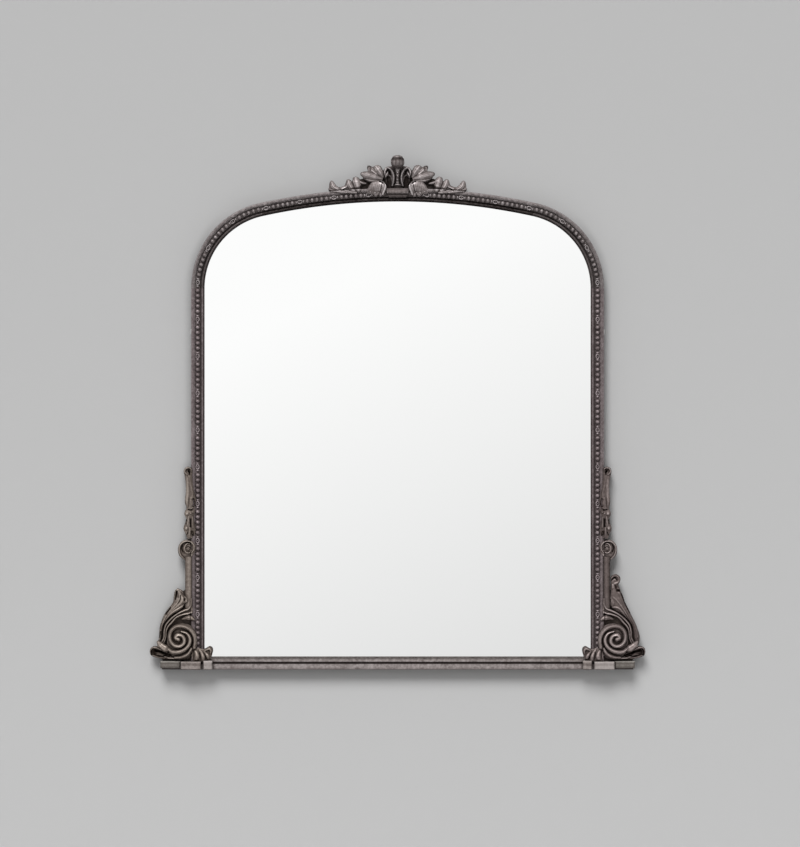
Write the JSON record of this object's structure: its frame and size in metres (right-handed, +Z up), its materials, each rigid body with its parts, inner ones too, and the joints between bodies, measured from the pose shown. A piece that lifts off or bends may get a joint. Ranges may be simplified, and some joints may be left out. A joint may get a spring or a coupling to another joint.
{
  "type": "overmantel mirror",
  "caption": "Arched overmantel mirror in a beaded moulded frame with scrolled leaf castings at the base, a leaf crest on top and D-ring hangers on the back.",
  "frame": {"origin": "bottom centre of the whole mirror, midway between its most forward casting and its wall bumpers", "axes": "+X to the right seen from the front, -Y towards the viewer, +Y towards the wall, +Z up"},
  "size_m": [1.1672, 0.06, 1.2104],
  "materials": {
    "frame_finish": "wood frame members in gesso and worn antique silver paint",
    "casting_finish": "cast composition ornament in worn antique silver paint with a dark wash in the hollows",
    "mirror_glass": "flat silvered float glass, plain edge",
    "backing_board": "brown hardboard",
    "setting_blocks": "black rubber",
    "dowel_wood": "beech dowel",
    "steel": "zinc plated steel",
    "rubber": "black rubber"
  },
  "bodies": {
    "frame": {"backing_board": "backing_board", "backing_clips": "steel", "base_rail": "frame_finish", "clip_screws": "steel", "crest_board": "frame_finish", "crest_cartouche": "casting_finish", "crest_finial": "casting_finish", "crest_pins": "steel", "crest_tablet": "casting_finish", "crown_bead_strip": "casting_finish", "crown_rail": "frame_finish", "frame_dowels": "dowel_wood", "hanger_screws": "steel", "left_acanthus": "casting_finish", "left_bead_strip": "casting_finish", "left_corner_leaf": "casting_finish", "left_crest_lower_leaf": "casting_finish", "left_crest_spray": "casting_finish", "left_crest_upper_leaf": "casting_finish", "left_foot_leaf": "casting_finish", "left_hanger_strap": "steel", "left_inner_plinth": "frame_finish", "left_leaf_drop": "casting_finish", "left_middle_plinth": "frame_finish", "left_outer_plinth": "frame_finish", "left_pilaster": "casting_finish", "left_scroll": "casting_finish", "left_shoulder": "frame_finish", "left_shoulder_bead_strip": "casting_finish", "left_small_scroll": "casting_finish", "left_stile": "frame_finish", "left_volute": "casting_finish", "left_wing_board": "frame_finish", "mirror_glass": "mirror_glass", "right_acanthus": "casting_finish", "right_bead_strip": "casting_finish", "right_corner_leaf": "casting_finish", "right_crest_lower_leaf": "casting_finish", "right_crest_spray": "casting_finish", "right_crest_upper_leaf": "casting_finish", "right_foot_leaf": "casting_finish", "right_hanger_strap": "steel", "right_inner_plinth": "frame_finish", "right_leaf_drop": "casting_finish", "right_middle_plinth": "frame_finish", "right_outer_plinth": "frame_finish", "right_pilaster": "casting_finish", "right_scroll": "casting_finish", "right_shoulder": "frame_finish", "right_shoulder_bead_strip": "casting_finish", "right_small_scroll": "casting_finish", "right_stile": "frame_finish", "right_volute": "casting_finish", "right_wing_board": "frame_finish", "setting_blocks": "setting_blocks", "wall_bumpers": "rubber"},
    "right_ring": {"right_hanger_ring": "steel"},
    "left_ring": {"left_hanger_ring": "steel"}
  },
  "joints": [
    {"name": "right_ring_swing", "type": "hinge", "parent": "frame", "child": "right_ring", "pos_m": [0.475, 0.0256, 0.8], "axis": [1, 0, 0], "range_deg": [0, 180]},
    {"name": "left_ring_swing", "type": "hinge", "parent": "frame", "child": "left_ring", "pos_m": [-0.475, 0.0256, 0.8], "axis": [1, 0, 0], "range_deg": [0, 180]}
  ]
}
